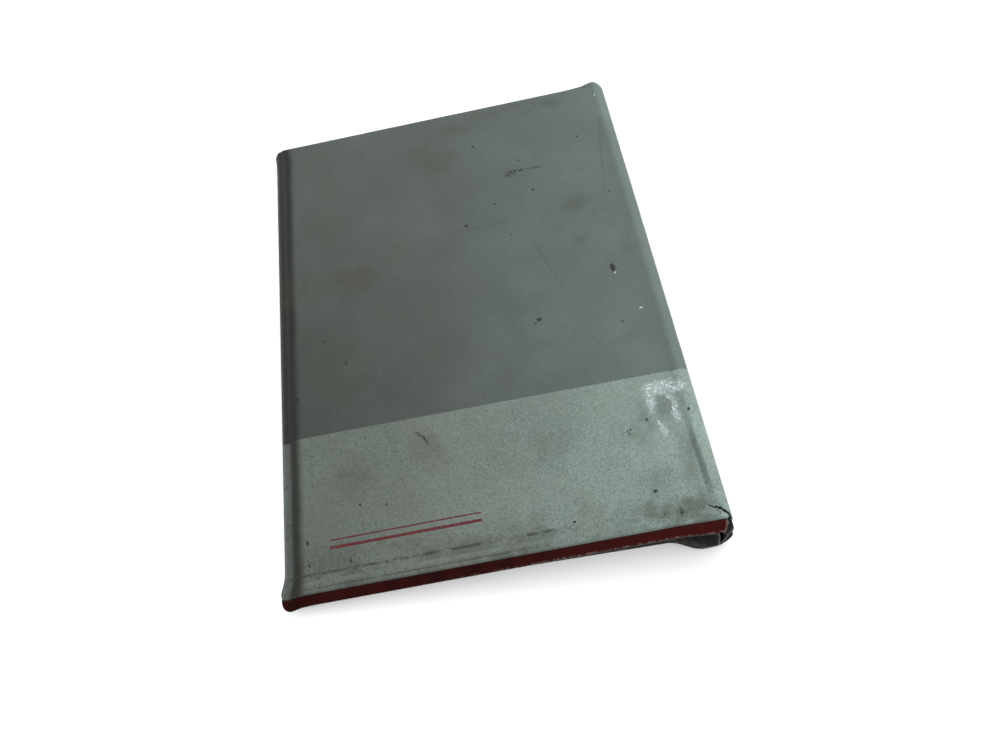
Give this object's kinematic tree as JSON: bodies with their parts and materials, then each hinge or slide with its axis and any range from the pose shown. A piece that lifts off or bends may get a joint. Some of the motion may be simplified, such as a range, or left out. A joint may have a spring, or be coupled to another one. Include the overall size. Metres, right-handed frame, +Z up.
{
  "type": "ring binder",
  "caption": "Slim padded vinyl ring binder with welded covers, hinged spine and a lever-opened ring mechanism, lying closed.",
  "frame": {"origin": "middle of the bounding box, on the surface that the back cover lies on", "axes": "+X to the spine, +Y to the head, +Z up out of the front cover"},
  "size_m": [0.171, 0.2366, 0.025],
  "materials": {
    "vinyl_dark": "worn satin padded vinyl",
    "vinyl_light": "worn satin padded vinyl",
    "vinyl_red": "satin vinyl",
    "lining_dark": "matte vinyl",
    "board_grey": "raw greyboard",
    "board_black": "raw black board",
    "foam": "open-cell foam",
    "nickel": "nickel-plated steel"
  },
  "bodies": {
    "back_cover": {"back_lining": "lining_dark", "back_board": "board_grey", "back_padding": "foam", "back_skin_upper": "vinyl_dark", "back_skin_band": "vinyl_light", "back_tail_strip": "vinyl_red", "ring_housing": "nickel", "rivet_head": "nickel", "rivet_tail": "nickel", "washer_head": "nickel", "washer_tail": "nickel", "back_hinge_strip": "vinyl_dark"},
    "spine": {"spine_lining": "lining_dark", "spine_board": "board_black", "spine_padding": "foam", "spine_skin_upper": "vinyl_dark", "spine_skin_band": "vinyl_light", "spine_tail_strip": "vinyl_red", "front_hinge_strip": "vinyl_dark"},
    "front_cover": {"front_lining": "lining_dark", "front_board": "board_grey", "front_padding": "foam", "front_skin_upper": "vinyl_dark", "front_skin_band": "vinyl_light", "front_tail_strip": "vinyl_red", "front_pocket": "lining_dark"},
    "left_leaf": {"leaf_left": "nickel", "ring_left_head": "nickel", "ring_left_tail": "nickel"},
    "right_leaf": {"leaf_right": "nickel", "ring_right_head": "nickel", "ring_right_tail": "nickel"},
    "head_trigger": {"trigger_head": "nickel"},
    "tail_trigger": {"trigger_tail": "nickel"}
  },
  "joints": [
    {"name": "spine_hinge", "type": "hinge", "parent": "back_cover", "child": "spine", "pos_m": [0.0809, 0, 0.0046], "axis": [0, 1, 0], "range_deg": [0, 90], "deforming": ["back_hinge_strip"]},
    {"name": "front_hinge", "type": "hinge", "parent": "spine", "child": "front_cover", "pos_m": [0.0809, 0, 0.0204], "axis": [0, 1, 0], "range_deg": [0, 95], "deforming": ["front_hinge_strip"]},
    {"name": "left_leaf_turn", "type": "hinge", "parent": "back_cover", "child": "left_leaf", "pos_m": [0.0587, 0, 0.00585], "axis": [0, -1, 0], "range_deg": [0, 12]},
    {"name": "right_leaf_turn", "type": "hinge", "parent": "back_cover", "child": "right_leaf", "pos_m": [0.0723, 0, 0.00585], "axis": [0, 1, 0], "range_deg": [0, 12]},
    {"name": "head_trigger_press", "type": "hinge", "parent": "back_cover", "child": "head_trigger", "pos_m": [0.0655, 0.0609, 0.0059], "axis": [-1, 0, 0], "range_deg": [0, 24]},
    {"name": "tail_trigger_press", "type": "hinge", "parent": "back_cover", "child": "tail_trigger", "pos_m": [0.0655, -0.0609, 0.0059], "axis": [1, 0, 0], "range_deg": [0, 24]}
  ],
  "couplings": [
    {"joint": "right_leaf_turn", "follows": "left_leaf_turn", "ratio": 1},
    {"joint": "head_trigger_press", "follows": "left_leaf_turn", "ratio": 2},
    {"joint": "tail_trigger_press", "follows": "left_leaf_turn", "ratio": 2}
  ]
}
